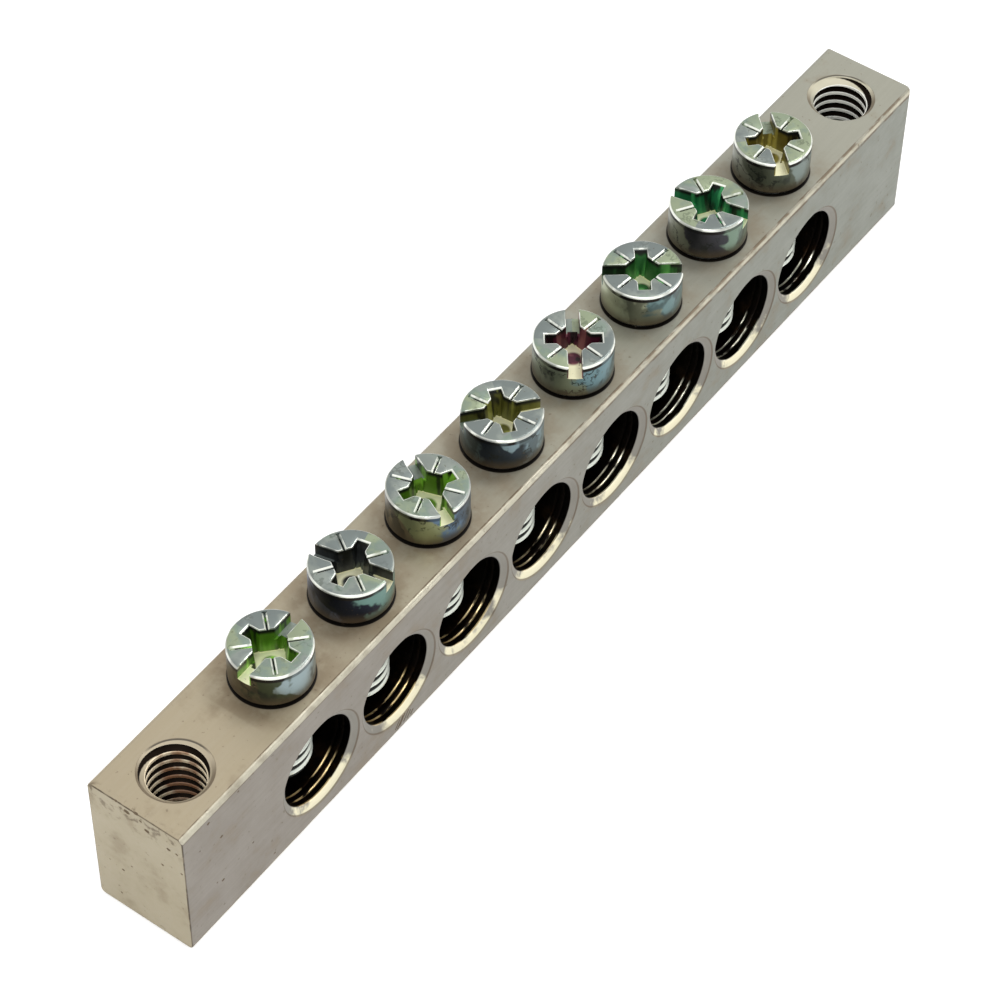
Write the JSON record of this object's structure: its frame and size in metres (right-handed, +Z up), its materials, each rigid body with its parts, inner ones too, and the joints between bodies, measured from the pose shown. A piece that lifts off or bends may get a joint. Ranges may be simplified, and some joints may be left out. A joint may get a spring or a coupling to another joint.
{
  "type": "neutral terminal bar",
  "caption": "Plated brass neutral terminal bar: a row of cross-drilled wire bores, each clamped from above by a combination-recess screw, with a tapped fixing hole near each end.",
  "frame": {"origin": "middle of the bar's underside", "axes": "+Z up along the clamping screws, +X along the bar towards its rolled end, wires enter along +Y from the front face"},
  "size_m": [0.072, 0.0066, 0.0126],
  "materials": {
    "plated_brass": "satin nickel and tin plating over drawn brass, with faint draw lines and small pits",
    "zinc_plated_steel": "bright zinc plating with a blue-green passivation"
  },
  "bodies": {
    "bar": {"terminal_bar": "plated_brass"},
    "clamp_screw_1": {"terminal_screw_1": "zinc_plated_steel"},
    "clamp_screw_2": {"terminal_screw_2": "zinc_plated_steel"},
    "clamp_screw_3": {"terminal_screw_3": "zinc_plated_steel"},
    "clamp_screw_4": {"terminal_screw_4": "zinc_plated_steel"},
    "clamp_screw_5": {"terminal_screw_5": "zinc_plated_steel"},
    "clamp_screw_6": {"terminal_screw_6": "zinc_plated_steel"},
    "clamp_screw_7": {"terminal_screw_7": "zinc_plated_steel"},
    "clamp_screw_8": {"terminal_screw_8": "zinc_plated_steel"}
  },
  "joints": [
    {"name": "clamp_screw_1_travel", "type": "slide", "parent": "bar", "child": "clamp_screw_1", "axis": [0, 0, 1], "range_m": [0, 0.0049]},
    {"name": "clamp_screw_2_travel", "type": "slide", "parent": "bar", "child": "clamp_screw_2", "axis": [0, 0, 1], "range_m": [0, 0.0049]},
    {"name": "clamp_screw_3_travel", "type": "slide", "parent": "bar", "child": "clamp_screw_3", "axis": [0, 0, 1], "range_m": [0, 0.0049]},
    {"name": "clamp_screw_4_travel", "type": "slide", "parent": "bar", "child": "clamp_screw_4", "axis": [0, 0, 1], "range_m": [0, 0.0049]},
    {"name": "clamp_screw_5_travel", "type": "slide", "parent": "bar", "child": "clamp_screw_5", "axis": [0, 0, 1], "range_m": [0, 0.0049]},
    {"name": "clamp_screw_6_travel", "type": "slide", "parent": "bar", "child": "clamp_screw_6", "axis": [0, 0, 1], "range_m": [0, 0.0049]},
    {"name": "clamp_screw_7_travel", "type": "slide", "parent": "bar", "child": "clamp_screw_7", "axis": [0, 0, 1], "range_m": [0, 0.0049]},
    {"name": "clamp_screw_8_travel", "type": "slide", "parent": "bar", "child": "clamp_screw_8", "axis": [0, 0, 1], "range_m": [0, 0.0049]}
  ]
}
